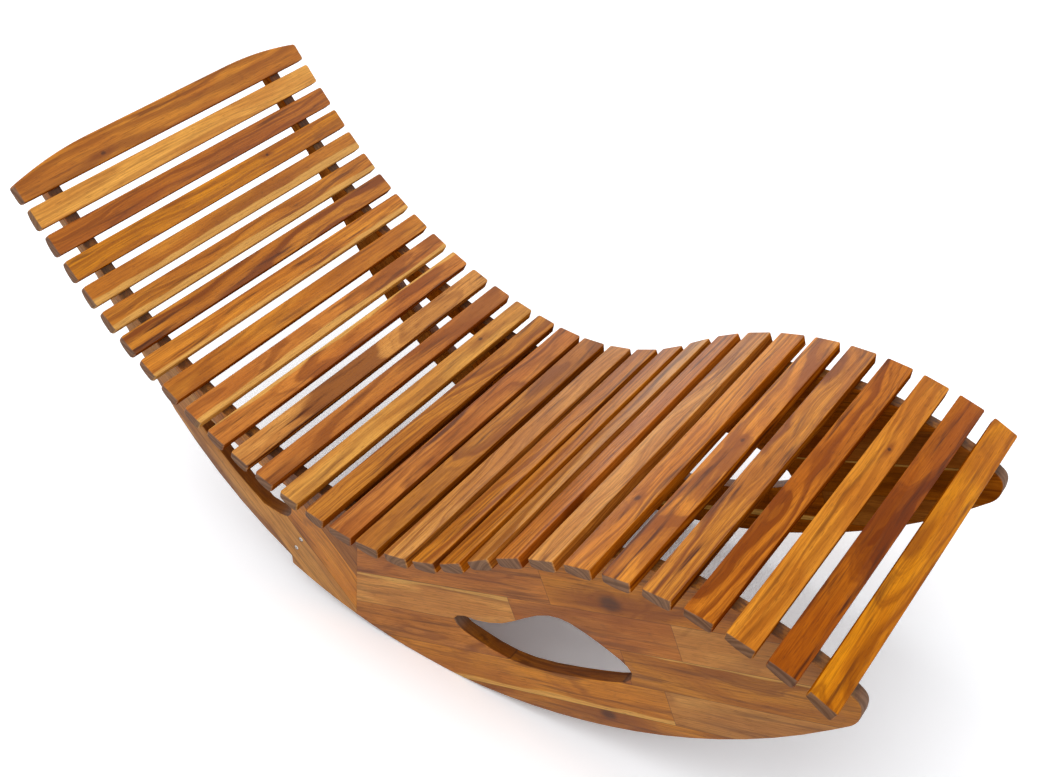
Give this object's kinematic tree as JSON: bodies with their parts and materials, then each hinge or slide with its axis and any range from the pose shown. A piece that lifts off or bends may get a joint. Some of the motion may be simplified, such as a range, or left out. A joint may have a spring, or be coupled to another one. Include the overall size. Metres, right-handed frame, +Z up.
{
  "type": "rocking chaise lounge",
  "caption": "Slatted hardwood rocking lounger: cross slats follow a reclined S-curve on two curved side boards whose lower edges are the rockers.",
  "frame": {"origin": "on the floor under the rockers, midway between head and foot and midway between the two sides", "axes": "+X from the head to the foot, +Y from the sitter's right to the sitter's left, +Z up"},
  "size_m": [1.4748, 0.65, 0.6842],
  "materials": {
    "hardwood_honey": "oiled, smooth planed",
    "hardwood_golden": "oiled, smooth planed",
    "hardwood_tan": "oiled, smooth planed",
    "hardwood_medium": "oiled, smooth planed",
    "hardwood_reddish": "oiled, smooth planed",
    "hardwood_dark": "oiled, smooth planed",
    "fastener_steel": "bright"
  },
  "bodies": {
    "root": {"head_slat": "hardwood_medium", "slat_02": "hardwood_honey", "slat_03": "hardwood_dark", "slat_04": "hardwood_golden", "slat_05": "hardwood_medium", "slat_06": "hardwood_medium", "slat_07": "hardwood_dark", "slat_08": "hardwood_golden", "slat_09": "hardwood_medium", "slat_10": "hardwood_reddish", "slat_11": "hardwood_reddish", "slat_12": "hardwood_tan", "slat_13": "hardwood_reddish", "slat_14": "hardwood_honey", "slat_15": "hardwood_golden", "slat_16": "hardwood_reddish", "slat_17": "hardwood_golden", "slat_18": "hardwood_tan", "slat_19": "hardwood_medium", "slat_20": "hardwood_medium", "slat_21": "hardwood_tan", "slat_22": "hardwood_reddish", "slat_23": "hardwood_golden", "slat_24": "hardwood_golden", "slat_25": "hardwood_reddish", "slat_26": "hardwood_golden", "slat_27": "hardwood_dark", "slat_28": "hardwood_honey", "slat_29": "hardwood_dark", "slat_30": "hardwood_golden", "rear_side_board_left": "hardwood_medium", "front_side_board_left": "hardwood_medium", "seam_dowel_left_lower": "hardwood_tan", "seam_dowel_left_upper": "hardwood_tan", "rear_side_board_right": "hardwood_medium", "front_side_board_right": "hardwood_medium", "seam_dowel_right_lower": "hardwood_tan", "seam_dowel_right_upper": "hardwood_tan", "stretcher": "hardwood_reddish", "stretcher_bolt_left_lower": "fastener_steel", "stretcher_nut_left_lower": "fastener_steel", "stretcher_bolt_left_upper": "fastener_steel", "stretcher_nut_left_upper": "fastener_steel", "stretcher_bolt_right_lower": "fastener_steel", "stretcher_nut_right_lower": "fastener_steel", "stretcher_bolt_right_upper": "fastener_steel", "stretcher_nut_right_upper": "fastener_steel"}
  },
  "joints": []
}
